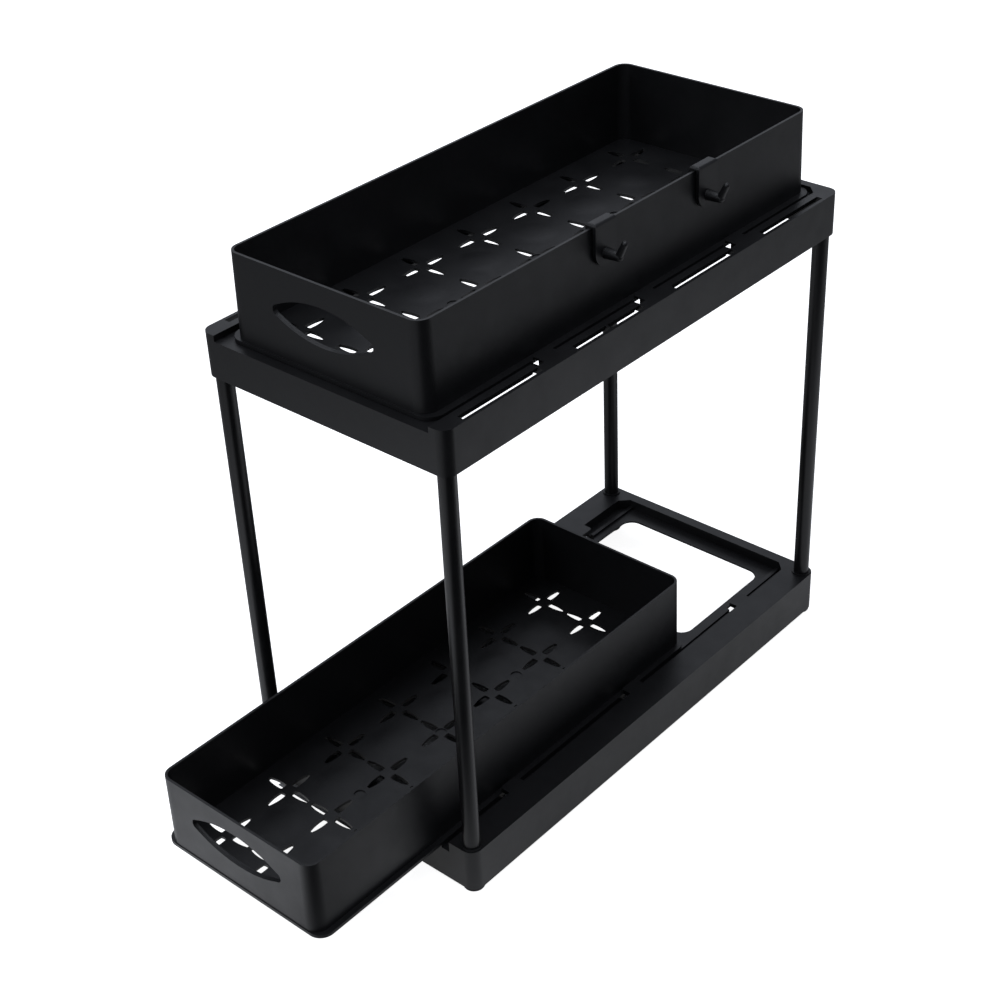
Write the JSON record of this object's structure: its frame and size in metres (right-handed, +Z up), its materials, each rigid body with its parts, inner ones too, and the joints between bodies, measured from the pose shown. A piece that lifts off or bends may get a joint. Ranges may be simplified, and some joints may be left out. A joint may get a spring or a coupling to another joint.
{
  "type": "under sink organizer",
  "caption": "Black two-tier under-sink rack with tube uprights, a pull-out basket with petal slots on each tier, and clip-on side hooks",
  "frame": {"origin": "On the surface that the feet stand on, under the middle of the whole outline with the lower basket pulled out as in the picture", "axes": "X to the right seen from the front, where the baskets pull out; -Y is the front; Z up"},
  "size_m": [0.202, 0.5096, 0.412],
  "materials": {
    "moulded_plastic": "satin black moulded plastic",
    "coated_tube": "satin black powder-coated steel tube",
    "foot_rubber": "matte black rubber"
  },
  "bodies": {
    "frame": {"base_frame": "moulded_plastic", "shelf_frame": "moulded_plastic", "tube_front_left": "coated_tube", "tube_front_right": "coated_tube", "tube_back_left": "coated_tube", "tube_back_right": "coated_tube", "foot_front_left": "foot_rubber", "foot_front_right": "foot_rubber", "foot_back_left": "foot_rubber", "foot_back_right": "foot_rubber"},
    "lower_basket": {"lower_basket": "moulded_plastic"},
    "upper_basket": {"upper_basket": "moulded_plastic"},
    "hook_front": {"hook_front": "moulded_plastic"},
    "hook_rear": {"hook_rear": "moulded_plastic"}
  },
  "joints": [
    {"name": "lower_basket_slide", "type": "slide", "parent": "frame", "child": "lower_basket", "axis": [0, -1, 0], "range_m": [-0.12, 0.13]},
    {"name": "upper_basket_slide", "type": "slide", "parent": "frame", "child": "upper_basket", "axis": [0, -1, 0], "range_m": [0, 0.25]},
    {"name": "hook_front_slide", "type": "slide", "parent": "upper_basket", "child": "hook_front", "axis": [0, 1, 0], "range_m": [-0.13, 0.04]},
    {"name": "hook_rear_slide", "type": "slide", "parent": "upper_basket", "child": "hook_rear", "axis": [0, 1, 0], "range_m": [-0.04, 0.09]}
  ]
}
